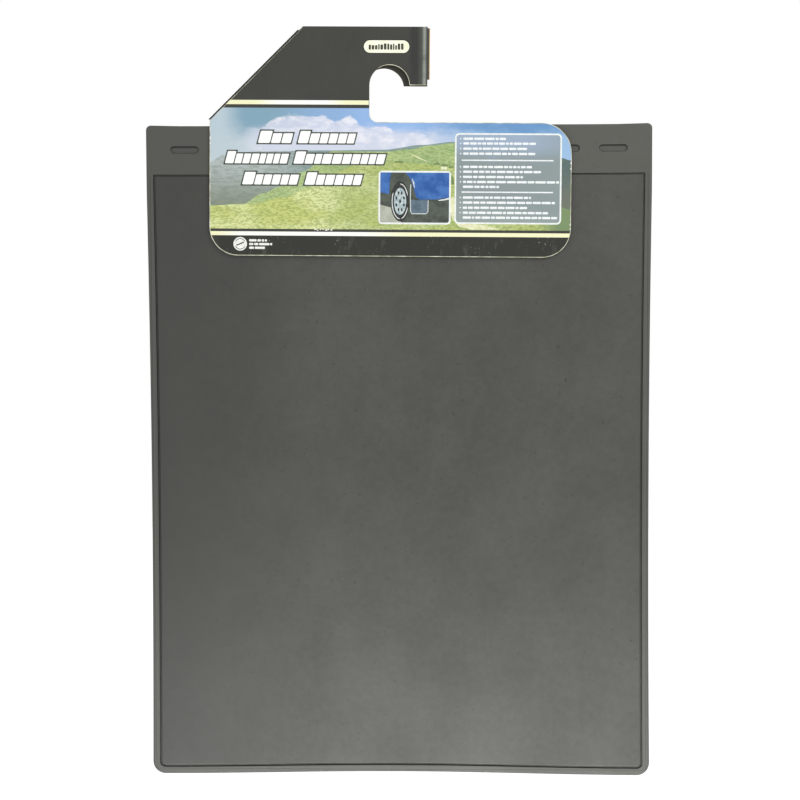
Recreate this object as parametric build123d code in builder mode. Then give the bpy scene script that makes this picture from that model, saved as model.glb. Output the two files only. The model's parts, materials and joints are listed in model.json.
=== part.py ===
"""Moulded rubber mud flap on its retail header card, in millimetres.

X runs across the flap, +Z is up and the show face looks along -Y.
The origin is the centre of the slot row, on the flap's flat rear face.
"""
from build123d import *
import os

# ---- flap: driving dimensions ----
FLAP_WIDTH = 355.6
FLAP_HEIGHT = 462.0
BORDER_THICKNESS = 4.0
RECESS_DEPTH = 0.8
BORDER_WIDTH = 5.0
HEADER_HEIGHT = 34.6
TOP_CORNER_RADIUS = 3.5
BOTTOM_CORNER_RADIUS = 9.0
RECESS_CORNER_RADIUS = 4.0
EDGE_ROUND = 1.2
RIM_ROUND = 0.35
REAR_EDGE_ROUND = 0.6

SLOT_COUNT = 10
SLOT_PITCH = 33.45
SLOT_LENGTH = 20.0
SLOT_WIDTH = 5.0
SLOT_DEPTH = 1.5
SLOT_DROP = 17.0

BACKING_THICKNESS = 1.75
SCRIM_THICKNESS = 0.3
SCRIM_MARGIN = 7.0

# the bending zone of the sheet is stood in for by one hinge line
HINGE_DROP = 152.0
HINGE_GAP = 0.3

# ---- header card: driving dimensions, in the card's own plane ----
# card x is measured from the flap's centreline, card y from the flap's top edge
CARD_TILT = 0.6
CARD_LEFT = -132.3
CARD_RIGHT = 121.6
CARD_BOTTOM = -92.6
CARD_SHOULDER = 1.2
SHOULDER_RADIUS = 21.0
CARD_CORNER_RADIUS = 20.0
HOOK_TOP = 67.5
HOOK_TOP_LEFT = -67.0
SLANT_FOOT = 2.2
FOLD_X = 20.2
TIP_HEIGHT = 27.0
NOTCH_LEFT = -20.3
NOTCH_RADIUS = 14.0
THROAT_RADIUS = 6.5
FOLD_FOOT = 31.0
FOLD_HEAD = 66.5

# the folded-back hook layer lands a little left of and below the front one
BACK_SHIFT_X = -4.0
BACK_SHIFT_Y = -2.4
BACK_TIP_SHIFT = -0.7
BACK_FOOT = 2.6

PRINT_SHEET = 0.35
FLUTE_HEIGHT = 0.95
LINER_SHEET = 0.3
FLUTE_PITCH = 3.2
FLUTE_LAND = 0.6
FLUTE_PAPER = 0.2
HOOK_GLUE = 0.15
HOOK_GLUE_MARGIN = 3.0

DOT_DIAMETER = 10.0
DOT_GAP = 0.4
UPPER_DOT_DROP = 27.0
LOWER_DOT_DROP = 79.0
DOT_XS = (-105.0, -35.0, 35.0, 95.0)

# ---- worked out from the above ----
TOP = SLOT_DROP
BOTTOM = TOP - FLAP_HEIGHT
HALF_WIDTH = FLAP_WIDTH / 2
HINGE_Z = TOP - HINGE_DROP
HINGE_RADIUS = BORDER_THICKNESS / 2
HINGE_Y = -HINGE_RADIUS
PANEL_TOP = TOP - HEADER_HEIGHT
PANEL_BOTTOM = BOTTOM + BORDER_WIDTH
PANEL_HALF_WIDTH = HALF_WIDTH - BORDER_WIDTH

BOARD = PRINT_SHEET + FLUTE_HEIGHT + LINER_SHEET
CARD_REAR_DEPTH = BORDER_THICKNESS + DOT_GAP
FOLD_DEPTH = CARD_REAR_DEPTH - HOOK_GLUE / 2
LINER_INNER = HOOK_GLUE / 2
LINER_OUTER = LINER_INNER + LINER_SHEET
PRINT_INNER = LINER_OUTER + FLUTE_HEIGHT
PRINT_OUTER = PRINT_INNER + PRINT_SHEET

# the layers are drawn across the card in two lifts: the label, then the hook
LABEL_FOOT = CARD_BOTTOM - 5.0
HOOK_FOOT = CARD_SHOULDER + 0.5
LABEL_LIFT = HOOK_FOOT - LABEL_FOOT
HOOK_LIFT = HOOK_TOP + 5.0 - HOOK_FOOT
SECTION_LEFT = CARD_LEFT - 8.0
SECTION_RIGHT = CARD_RIGHT + 5.0

os.makedirs("parts", exist_ok=True)


def finish(builder, name):
    """Label a finished piece and write it to its own file."""
    builder.part.label = name
    export_step(builder.part, f"parts/{name}.step")


def front_plane(depth):
    """Upright plane `depth` in front of the flap's rear face."""
    return Plane.XZ.offset(depth)


def card_plane(depth):
    """Upright plane of the card, `depth` in front of the flap's rear face."""
    upright = Plane(origin=(0, -depth, TOP), x_dir=(1, 0, 0), z_dir=(0, -1, 0))
    return upright.rotated((0, CARD_TILT, 0))


def card_section(height):
    """Plane across the card at `height`: x along the card, y towards the flap."""
    face = card_plane(FOLD_DEPTH)
    foot = face.from_local_coords(Vector(0, height, 0))
    return Plane(origin=foot, x_dir=face.x_dir, z_dir=face.y_dir)


def flap_outline(margin):
    """Flat outline of the flap, drawn in by `margin`."""
    left = -HALF_WIDTH + margin
    right = HALF_WIDTH - margin
    top = TOP - margin
    bottom = BOTTOM + margin
    top_radius = max(TOP_CORNER_RADIUS - margin, 1.0)
    bottom_radius = max(BOTTOM_CORNER_RADIUS - margin, 2.0)
    corners = ((left, top), (left, bottom), (right, bottom), (right, top))
    radii = (top_radius, bottom_radius, bottom_radius, top_radius)
    with BuildSketch() as outline:
        with BuildLine():
            FilletPolyline(*corners, radius=radii, close=True)
        make_face()
    return outline.sketch


def recess_outline():
    """Flat outline of the sunk panel, with square corners under the header band."""
    left = -PANEL_HALF_WIDTH
    right = PANEL_HALF_WIDTH
    corners = ((left, PANEL_TOP), (left, PANEL_BOTTOM), (right, PANEL_BOTTOM), (right, PANEL_TOP))
    radii = (0, RECESS_CORNER_RADIUS, RECESS_CORNER_RADIUS, 0)
    with BuildSketch() as outline:
        with BuildLine():
            FilletPolyline(*corners, radius=radii, close=True)
        make_face()
    return outline.sketch


# ---- the flap's three bonded plies, whole ----
with BuildPart() as whole_facing:
    with BuildSketch(front_plane(BACKING_THICKNESS)):
        add(flap_outline(0))
    extrude(amount=BORDER_THICKNESS - BACKING_THICKNESS)
    fillet(whole_facing.faces().sort_by(Axis.Y)[0].outer_wire().edges(), EDGE_ROUND)
    with BuildSketch(front_plane(BORDER_THICKNESS)):
        add(recess_outline())
    extrude(amount=-RECESS_DEPTH, mode=Mode.SUBTRACT)
    rim = whole_facing.faces().filter_by(Axis.Y).sort_by(Axis.Y)[0].inner_wires()[0]
    fillet(rim.edges(), RIM_ROUND)
    with BuildSketch(front_plane(BORDER_THICKNESS)):
        with GridLocations(SLOT_PITCH, 0, SLOT_COUNT, 1):
            SlotOverall(SLOT_LENGTH, SLOT_WIDTH)
    extrude(amount=-SLOT_DEPTH, mode=Mode.SUBTRACT)

with BuildPart() as whole_scrim:
    with BuildSketch(front_plane(BACKING_THICKNESS - SCRIM_THICKNESS)):
        add(flap_outline(SCRIM_MARGIN))
    extrude(amount=SCRIM_THICKNESS)

with BuildPart() as whole_backing:
    with BuildSketch(front_plane(0)):
        add(flap_outline(0))
    extrude(amount=BACKING_THICKNESS)
    fillet(whole_backing.faces().sort_by(Axis.Y)[-1].outer_wire().edges(), REAR_EDGE_ROUND)
    add(whole_scrim.part, mode=Mode.SUBTRACT)

# ---- everything that swings: below the hinge line, plus a round nose about it ----
with BuildPart() as swinging_side:
    with BuildSketch(Plane.XY.offset(HINGE_Z)):
        with Locations((0, HINGE_Y)):
            Rectangle(FLAP_WIDTH + 2, BORDER_THICKNESS + 2)
    extrude(amount=-(HINGE_Z - BOTTOM + 1))
    with BuildSketch(Plane.YZ.offset(-HALF_WIDTH - 1)):
        with Locations((HINGE_Y, HINGE_Z)):
            Circle(HINGE_RADIUS)
    extrude(amount=FLAP_WIDTH + 2)

UPPER_EDGE = Plane.XY.offset(HINGE_Z + HINGE_RADIUS + HINGE_GAP)

with BuildPart() as upper_facing:
    add(whole_facing.part)
    split(bisect_by=UPPER_EDGE, keep=Keep.TOP)

with BuildPart() as upper_scrim:
    add(whole_scrim.part)
    split(bisect_by=UPPER_EDGE, keep=Keep.TOP)

with BuildPart() as upper_backing:
    add(whole_backing.part)
    split(bisect_by=UPPER_EDGE, keep=Keep.TOP)

with BuildPart() as lower_facing:
    add(whole_facing.part)
    add(swinging_side.part, mode=Mode.INTERSECT)

with BuildPart() as lower_scrim:
    add(whole_scrim.part)
    add(swinging_side.part, mode=Mode.INTERSECT)

with BuildPart() as lower_backing:
    add(whole_backing.part)
    add(swinging_side.part, mode=Mode.INTERSECT)


# ---- the header card: one folded blank of fluted board ----
def front_board_outline():
    """Flat outline of the front board: label panel, throat, peg notch and hook, cut off at the fold."""
    notch_right = NOTCH_LEFT + 2 * NOTCH_RADIUS
    crown = (NOTCH_LEFT + NOTCH_RADIUS, TIP_HEIGHT + NOTCH_RADIUS)
    label = (
        (NOTCH_LEFT, TIP_HEIGHT),
        (NOTCH_LEFT, CARD_SHOULDER),
        (CARD_RIGHT, CARD_SHOULDER),
        (CARD_RIGHT, CARD_BOTTOM),
        (CARD_LEFT, CARD_BOTTOM),
        (CARD_LEFT, SLANT_FOOT),
    )
    radii = (THROAT_RADIUS, SHOULDER_RADIUS, CARD_CORNER_RADIUS, CARD_CORNER_RADIUS)
    with BuildSketch() as outline:
        with BuildLine():
            FilletPolyline(*label, radius=radii)
            Polyline(
                (CARD_LEFT, SLANT_FOOT),
                (HOOK_TOP_LEFT, HOOK_TOP),
                (FOLD_X, HOOK_TOP),
                (FOLD_X, TIP_HEIGHT),
                (notch_right, TIP_HEIGHT),
            )
            ThreePointArc((notch_right, TIP_HEIGHT), crown, (NOTCH_LEFT, TIP_HEIGHT))
        make_face()
    return outline.sketch


def back_layer_outline():
    """Flat outline of the hook layer folded back behind the front board, a little out of register."""
    left = NOTCH_LEFT + BACK_SHIFT_X
    right = left + 2 * NOTCH_RADIUS
    tip = TIP_HEIGHT + BACK_TIP_SHIFT
    crown = (left + NOTCH_RADIUS, TIP_HEIGHT + BACK_SHIFT_Y + NOTCH_RADIUS)
    head = HOOK_TOP + BACK_SHIFT_Y
    head_left = HOOK_TOP_LEFT + BACK_SHIFT_X
    foot_left = head_left - (head - BACK_FOOT)
    with BuildSketch() as outline:
        with BuildLine():
            Polyline(
                (left, tip),
                (left, BACK_FOOT),
                (foot_left, BACK_FOOT),
                (head_left, head),
                (FOLD_X, head),
                (FOLD_X, tip),
                (right, tip),
            )
            ThreePointArc((right, tip), crown, (left, tip))
        make_face()
    return outline.sketch


def folded_layer_section(inner, outer):
    """U-shaped section of one layer of the board, folded about the glue line."""
    length = FOLD_X - SECTION_LEFT
    centre = (FOLD_X + SECTION_LEFT) / 2
    with BuildSketch() as section:
        with Locations((FOLD_X, 0)):
            Circle(outer)
        with Locations((centre, 0)):
            Rectangle(length, 2 * outer)
        with Locations((FOLD_X, 0)):
            Circle(inner, mode=Mode.SUBTRACT)
        with Locations((centre, 0)):
            Rectangle(length, 2 * inner, mode=Mode.SUBTRACT)
    return section.sketch


def label_layer_section(inner, outer):
    """Flat section of one layer of the front board, right across the label."""
    with BuildSketch() as section:
        with Locations(((SECTION_LEFT + SECTION_RIGHT) / 2, -(inner + outer) / 2)):
            Rectangle(SECTION_RIGHT - SECTION_LEFT, outer - inner)
    return section.sketch


def flute_section(side, right_end):
    """Trapezoid wave of the fluting on one side of the glue line, up to `right_end`."""
    low = LINER_OUTER
    high = PRINT_INNER - FLUTE_PAPER
    land = FLUTE_LAND / 2
    half = FLUTE_PITCH / 2
    first = -int((right_end - FOLD_X) / FLUTE_PITCH)
    last = int((FOLD_X - SECTION_LEFT) / FLUTE_PITCH) + 1
    wave = []
    for turn in range(first, last):
        x = FOLD_X - turn * FLUTE_PITCH
        wave += [(x + land, low), (x - land, low), (x - half + land, high), (x - half - land, high)]
    near_liner = [(x, side * y) for x, y in wave]
    near_print = [(x, side * (y + FLUTE_PAPER)) for x, y in reversed(wave)]
    with BuildSketch() as section:
        with BuildLine():
            Polyline(*near_liner, *near_print, close=True)
        make_face()
    return section.sketch


def crushed_flute_section():
    """Half ring of fluting crushed onto the liner round the fold."""
    with BuildSketch() as section:
        with Locations((FOLD_X, 0)):
            Circle(LINER_OUTER + FLUTE_PAPER)
            Circle(LINER_OUTER, mode=Mode.SUBTRACT)
        with Locations((FOLD_X - FLUTE_LAND, 0)):
            Rectangle(2 * FLUTE_LAND, 4 * PRINT_OUTER, mode=Mode.SUBTRACT)
    return section.sketch


with BuildPart() as board_envelope:
    with BuildSketch(card_plane(CARD_REAR_DEPTH)):
        add(front_board_outline())
    extrude(amount=BOARD)
    with BuildSketch(card_plane(FOLD_DEPTH)):
        add(back_layer_outline())
    extrude(amount=-PRINT_OUTER)
    with BuildSketch(card_plane(FOLD_DEPTH - PRINT_OUTER)):
        with BuildLine():
            Polyline(
                (FOLD_X, FOLD_FOOT),
                (FOLD_X + PRINT_OUTER, FOLD_FOOT),
                (FOLD_X + PRINT_OUTER, FOLD_HEAD),
                (FOLD_X, FOLD_HEAD),
                close=True,
            )
        make_face()
    extrude(amount=2 * PRINT_OUTER)

with BuildPart() as card_print_sheet:
    with BuildSketch(card_section(LABEL_FOOT)):
        add(label_layer_section(PRINT_INNER, PRINT_OUTER))
    extrude(amount=LABEL_LIFT)
    with BuildSketch(card_section(HOOK_FOOT)):
        add(folded_layer_section(PRINT_INNER, PRINT_OUTER))
    extrude(amount=HOOK_LIFT)
    add(board_envelope.part, mode=Mode.INTERSECT)

with BuildPart() as card_liner:
    with BuildSketch(card_section(LABEL_FOOT)):
        add(label_layer_section(LINER_INNER, LINER_OUTER))
    extrude(amount=LABEL_LIFT)
    with BuildSketch(card_section(HOOK_FOOT)):
        add(folded_layer_section(LINER_INNER, LINER_OUTER))
    extrude(amount=HOOK_LIFT)
    add(board_envelope.part, mode=Mode.INTERSECT)

with BuildPart() as card_flute:
    with BuildSketch(card_section(LABEL_FOOT)):
        add(flute_section(-1, SECTION_RIGHT))
    extrude(amount=LABEL_LIFT)
    with BuildSketch(card_section(HOOK_FOOT)):
        add(flute_section(-1, FOLD_X))
        add(flute_section(1, FOLD_X))
        add(crushed_flute_section())
    extrude(amount=HOOK_LIFT)
    add(board_envelope.part, mode=Mode.INTERSECT)

with BuildPart() as hook_glue:
    with BuildSketch(card_plane(CARD_REAR_DEPTH - HOOK_GLUE)):
        add(back_layer_outline())
        add(front_board_outline(), mode=Mode.INTERSECT)
        offset(amount=-HOOK_GLUE_MARGIN)
    extrude(amount=HOOK_GLUE)

with BuildPart() as glue_dots:
    with BuildSketch(front_plane(BORDER_THICKNESS)):
        with Locations(*[(x, TOP - UPPER_DOT_DROP) for x in DOT_XS]):
            Circle(DOT_DIAMETER / 2)
    extrude(amount=DOT_GAP)
    with BuildSketch(front_plane(BORDER_THICKNESS - RECESS_DEPTH)):
        with Locations(*[(x, TOP - LOWER_DOT_DROP) for x in DOT_XS]):
            Circle(DOT_DIAMETER / 2)
    extrude(amount=DOT_GAP + RECESS_DEPTH)

finish(upper_facing, "upper_facing")
finish(upper_scrim, "upper_scrim")
finish(upper_backing, "upper_backing")
finish(lower_facing, "lower_facing")
finish(lower_scrim, "lower_scrim")
finish(lower_backing, "lower_backing")
finish(card_print_sheet, "card_print_sheet")
finish(card_flute, "card_flute")
finish(card_liner, "card_liner")
finish(hook_glue, "hook_glue")
finish(glue_dots, "glue_dots")
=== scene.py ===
"""Looks of a moulded rubber mud flap on its hooked header card.

Measures are in millimetres, x to the right and z up, and depth is how far a thing stands in front of
the flap's flat rear face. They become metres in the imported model's frame where meshes are made.
"""
import json
import math
import random

import bmesh
import bpy
from mathutils import Matrix, Vector


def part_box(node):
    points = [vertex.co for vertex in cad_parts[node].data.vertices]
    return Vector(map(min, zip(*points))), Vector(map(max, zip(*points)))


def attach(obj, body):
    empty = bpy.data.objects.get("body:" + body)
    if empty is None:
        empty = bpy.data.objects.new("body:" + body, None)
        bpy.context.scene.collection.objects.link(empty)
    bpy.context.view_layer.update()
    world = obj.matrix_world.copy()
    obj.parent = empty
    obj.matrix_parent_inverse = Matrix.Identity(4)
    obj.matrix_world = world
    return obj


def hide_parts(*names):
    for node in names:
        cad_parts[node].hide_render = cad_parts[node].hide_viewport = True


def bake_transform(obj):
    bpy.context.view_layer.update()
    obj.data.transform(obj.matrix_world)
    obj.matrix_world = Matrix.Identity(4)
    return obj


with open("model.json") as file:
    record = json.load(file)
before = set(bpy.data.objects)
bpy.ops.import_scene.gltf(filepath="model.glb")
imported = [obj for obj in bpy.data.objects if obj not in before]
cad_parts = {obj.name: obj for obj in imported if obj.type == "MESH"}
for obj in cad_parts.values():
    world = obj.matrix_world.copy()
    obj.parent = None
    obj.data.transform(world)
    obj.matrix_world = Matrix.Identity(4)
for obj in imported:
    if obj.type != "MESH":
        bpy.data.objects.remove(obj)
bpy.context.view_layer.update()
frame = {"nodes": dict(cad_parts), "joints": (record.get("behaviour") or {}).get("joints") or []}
MM = 0.001

# ---- flap: outer sizes from the frame, then what the CAD model drives ----
FLAP_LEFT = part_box("upper_facing")[0].x / MM
FLAP_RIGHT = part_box("upper_facing")[1].x / MM
FLAP_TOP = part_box("upper_facing")[1].z / MM
FLAP_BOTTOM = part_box("lower_facing")[0].z / MM
FACE = -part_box("upper_facing")[0].y / MM
PLY_JOINT = -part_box("upper_facing")[1].y / MM
SCRIM_LOW, SCRIM_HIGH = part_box("lower_scrim")[0] / MM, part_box("upper_scrim")[1] / MM
HINGE = Vector(next(j["pos_m"] for j in frame["joints"] if j["name"] == "flap_flex"))
TOP_CORNER = 3.5
BOTTOM_CORNER = 9.0
EDGE_ROUND = 1.2
REAR_ROUND = 0.6
BORDER = 5.0
HEADER = 34.6
PANEL_CORNER = 4.0
PANEL_DEPTH = FACE - 0.8
GROOVE_DEPTH = PANEL_DEPTH - 0.5
SLOT_COUNT = 10
SLOT_PITCH = 33.45
SLOT_LENGTH = 20.0
SLOT_RADIUS = 2.5
SLOT_FLOOR = FACE - 1.5
SCRIM_MARGIN = 7.0
SCRIM_PITCH = 8.0
YARN_HALF_WIDTH = 0.8

# ---- the sheet's bend, and the set that it has taken at rest ----
BEND_REACH = 38.0
WARP = 1.3
WARP_START = -115.0
EDGE_BOW = 1.4
FOOT_ARCH = 1.15
FOOT_LIFT = 0.25
HEAD_SAG = 0.65

# ---- header card, in its own plane: x from the flap's centreline, z from the flap's top edge ----
CARD_TILT = 0.6
CARD_FACE = -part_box("card_print_sheet")[0].y / MM
CARD_LEFT = -132.3
CARD_RIGHT = 121.6
CARD_BOTTOM = -92.6
CARD_CORNER = 20.0
SHOULDER = 1.2
SHOULDER_RADIUS = 21.0
SLANT_FOOT = 2.2
HOOK_TOP = 67.5
HOOK_TOP_LEFT = -67.0
FOLD_X = 20.2
TIP = 27.0
NOTCH_LEFT = -20.3
NOTCH_RADIUS = 14.0
THROAT_RADIUS = 6.5
FLUTE_PITCH = 3.2
PICTURE_TOP = 11.1
PICTURE_BOTTOM = -73.8
TRIM = 0.3
CARD_PLANE = Matrix.Translation((0, 0, FLAP_TOP * MM)) @ Matrix.Rotation(math.radians(CARD_TILT), 4, "Y")

# how far each layer of ink stands proud of the card's face
INK_ROOT = 0.03
INK_1, INK_2, INK_3, INK_4 = 0.04, 0.08, 0.12, 0.16
INK_SPOT = 0.06

# ---- what the studio adds, so that a finish can be given as the colour that it shows ----
ROOM_LIGHT = 1.15
GLOSS = 0.045


# ---- colours and node trees ----
def shown(red, green, blue):
    """Base colour that shows as this 0-255 colour in the studio's light."""
    def base(channel):
        value = channel / 255
        linear = ((value + 0.055) / 1.055) ** 2.4
        return min(0.95, max(0.004, (linear - GLOSS) / ROOM_LIGHT))
    return (base(red), base(green), base(blue), 1.0)


def scaled(tone, factor):
    """The same colour, made darker or paler by a factor."""
    return tuple(factor * channel for channel in tone[:3]) + (1.0,)


class Finish:
    """One material's node tree, with short calls for the nodes that these finishes use."""

    def __init__(self, name, roughness=0.5):
        self.material = bpy.data.materials.new(name)
        self.material.use_nodes = True
        self.tree = self.material.node_tree
        self.shader = self.tree.nodes["Principled BSDF"]
        self.shader.inputs["Roughness"].default_value = roughness

    def put(self, socket, value):
        if isinstance(value, bpy.types.NodeSocket):
            self.tree.links.new(value, socket)
        else:
            socket.default_value = value

    def node(self, kind, inputs, output=0, **settings):
        made = self.tree.nodes.new(kind)
        for name, value in settings.items():
            setattr(made, name, value)
        for key, value in inputs.items():
            self.put(made.inputs[key], value)
        return made.outputs[output]

    def math(self, operation, first, second=0.0):
        return self.node("ShaderNodeMath", {0: first, 1: second}, operation=operation)

    def plus(self, first, second):
        return self.math("ADD", first, second)

    def minus(self, first, second):
        return self.math("SUBTRACT", first, second)

    def times(self, first, second):
        return self.math("MULTIPLY", first, second)

    def blend(self, share, first, second):
        return self.node("ShaderNodeMix", {0: share, 6: first, 7: second}, 2, data_type="RGBA")

    def span(self, value, low, high, to_low=0.0, to_high=1.0):
        """Smooth step of value from low to high."""
        inputs = {0: value, 1: low, 2: high, 3: to_low, 4: to_high}
        return self.node("ShaderNodeMapRange", inputs, interpolation_type="SMOOTHSTEP")

    def noise(self, place, scale, detail=4.0, rough=0.55, stretch=(1, 1, 1)):
        if stretch != (1, 1, 1):
            place = self.node("ShaderNodeMapping", {"Vector": place, "Scale": stretch})
        inputs = {"Vector": place, "Scale": scale, "Detail": detail, "Roughness": rough}
        return self.node("ShaderNodeTexNoise", inputs, "Fac")

    def card_place(self):
        """The card's own coordinates in millimetres: x across, z up from the flap's top edge."""
        place = self.node("ShaderNodeTexCoord", {}, "Object")
        inputs = {"Vector": place, "Location": (0, 0, FLAP_TOP * MM), "Scale": (MM, MM, MM),
                  "Rotation": (0, math.radians(CARD_TILT), 0)}
        return self.node("ShaderNodeMapping", inputs, vector_type="TEXTURE")

    def split(self, vector):
        return [self.node("ShaderNodeSeparateXYZ", {0: vector}, k) for k in range(3)]

    def bump(self, height, distance, strength=1.0):
        inputs = {"Height": height, "Distance": distance, "Strength": strength}
        normal = self.node("ShaderNodeBump", inputs)
        self.put(self.shader.inputs["Normal"], normal)

    def colour(self, value):
        self.put(self.shader.inputs["Base Color"], value)

    def roughness(self, value):
        self.put(self.shader.inputs["Roughness"], value)


# ---- finishes ----
def rubber_finish(name, dark, light, edge, roughness, painted_relief_light):
    """Matt moulded rubber: bloomy mottling, handling smears and fine tooth, with painted shade on its cut
    sides, in its slots and towards its left side.
    The last argument sets how much paler the border is painted than the panel, as a painted sheen, and how
    strong the painted shade and highlight lines along the border and the painted shadow in the slots are."""
    look = Finish(name)
    place = look.node("ShaderNodeAttribute", {}, "Vector", attribute_name="rest")
    x, y, z = look.split(place)
    pale = scaled(light, 1.6)
    cloud = look.span(look.noise(place, 11.0, 6.0, 0.62), 0.32, 0.68)
    smear = look.span(look.noise(place, 34.0, 5.0, 0.6, (1, 1, 0.35)), 0.45, 0.75)
    fine = look.span(look.noise(place, 190.0, 4.0, 0.7), 0.40, 0.62)
    patch = look.plus(look.times(cloud, 0.6), look.times(smear, 0.25))
    patch = look.plus(patch, look.times(fine, 0.25))
    colour = look.blend(patch, dark, light)
    streak = look.span(look.noise(place, 1.0, 2.0, 0.5, (900.0, 1.0, 16.0)), 0.68, 0.76)
    rub = look.span(look.noise(place, 14.0, 3.0, 0.5), 0.48, 0.62)
    colour = look.blend(look.times(look.times(streak, rub), 0.5), colour, pale)
    speck = look.span(look.noise(place, 420.0, 2.0, 0.5), 0.68, 0.76)
    colour = look.blend(look.times(speck, 0.55), colour, edge)
    # painted shade: the left part of the sheet is painted darker, standing for the weaker light on that
    # side
    dull = look.times(look.span(x, -0.03, -0.175), 0.75)
    colour = look.blend(dull, colour, scaled(dark, 0.68))
    across = look.minus(look.math("ABSOLUTE", x), (FLAP_RIGHT - BORDER) * MM)
    above = look.minus(z, (FLAP_TOP - HEADER) * MM)
    below = look.minus((FLAP_BOTTOM + BORDER + FOOT_LIFT) * MM, z)
    rim = look.math("MAXIMUM", across, below)
    # painted sheen: the border and the header band are painted paler than the sunk panel, as if they catch
    # more light
    raised = look.times(look.span(look.math("MAXIMUM", rim, above), -0.0016, 0.0004), painted_relief_light)
    colour = look.blend(raised, colour, pale)
    lower = look.span(above, 0.0, -0.002)
    # painted shade line and painted highlight line along the border, standing for the light and shade on
    # its bead
    for out, share, tone in ((0.0022, 0.55, edge), (0.0013, 0.3, pale)):
        away = look.math("ABSOLUTE", look.minus(rim, out))
        line = look.times(look.span(away, 0.0005, 0.0001), share * painted_relief_light * 2.0)
        colour = look.blend(look.times(line, lower), colour, tone)
    # painted shadow: the slot floors are painted darker just under their top walls, as if shaded from a
    # light above
    sunk = look.span(y, -(FACE - 0.3) * MM, -(FACE - 0.7) * MM)
    painted_slot_shadow = look.times(look.span(z, 0.0004, 0.0020), look.span(z, 0.0034, 0.0030))
    painted_slot_shadow = look.times(look.times(painted_slot_shadow, sunk), 2.4 * painted_relief_light)
    colour = look.blend(painted_slot_shadow, colour, scaled(edge, 0.5))
    # painted shade: faces turned away from the front are painted towards the dark edge tone, and in the
    # band of the slots towards near black, except the walls that face up, which are left as if lit from
    # above
    _, facing, up = look.split(look.node("ShaderNodeNewGeometry", {}, "Normal"))
    side = look.span(look.math("ABSOLUTE", facing), 0.93, 0.5)
    slots = look.span(look.math("ABSOLUTE", z), 0.0042, 0.0034)
    lit = look.times(slots, look.span(up, -0.15, 0.35))
    side = look.times(side, look.minus(1.0, lit))
    deep = look.math("MINIMUM", look.times(slots, 2.5 * painted_relief_light), 1.0)
    look.colour(look.blend(side, colour, look.blend(deep, edge, (0.004, 0.004, 0.004, 1))))
    tooth = look.noise(place, 1700.0, 3.0, 0.6)
    look.roughness(look.plus(look.times(patch, -0.10), roughness))
    look.bump(tooth, 0.00004, 0.5)
    return look.material


def scrim_finish():
    """Glass-fibre yarn: pale, silky, with fine filaments along it."""
    look = Finish("glass_scrim", 0.38)
    place = look.node("ShaderNodeAttribute", {}, "Vector", attribute_name="rest")
    fibre = look.noise(place, 2600.0, 2.0, 0.5, (1, 1, 0.12))
    look.colour(look.blend(fibre, (0.52, 0.55, 0.50, 1), (0.86, 0.88, 0.82, 1)))
    look.bump(fibre, 0.00003, 0.6)
    return look.material


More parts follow.
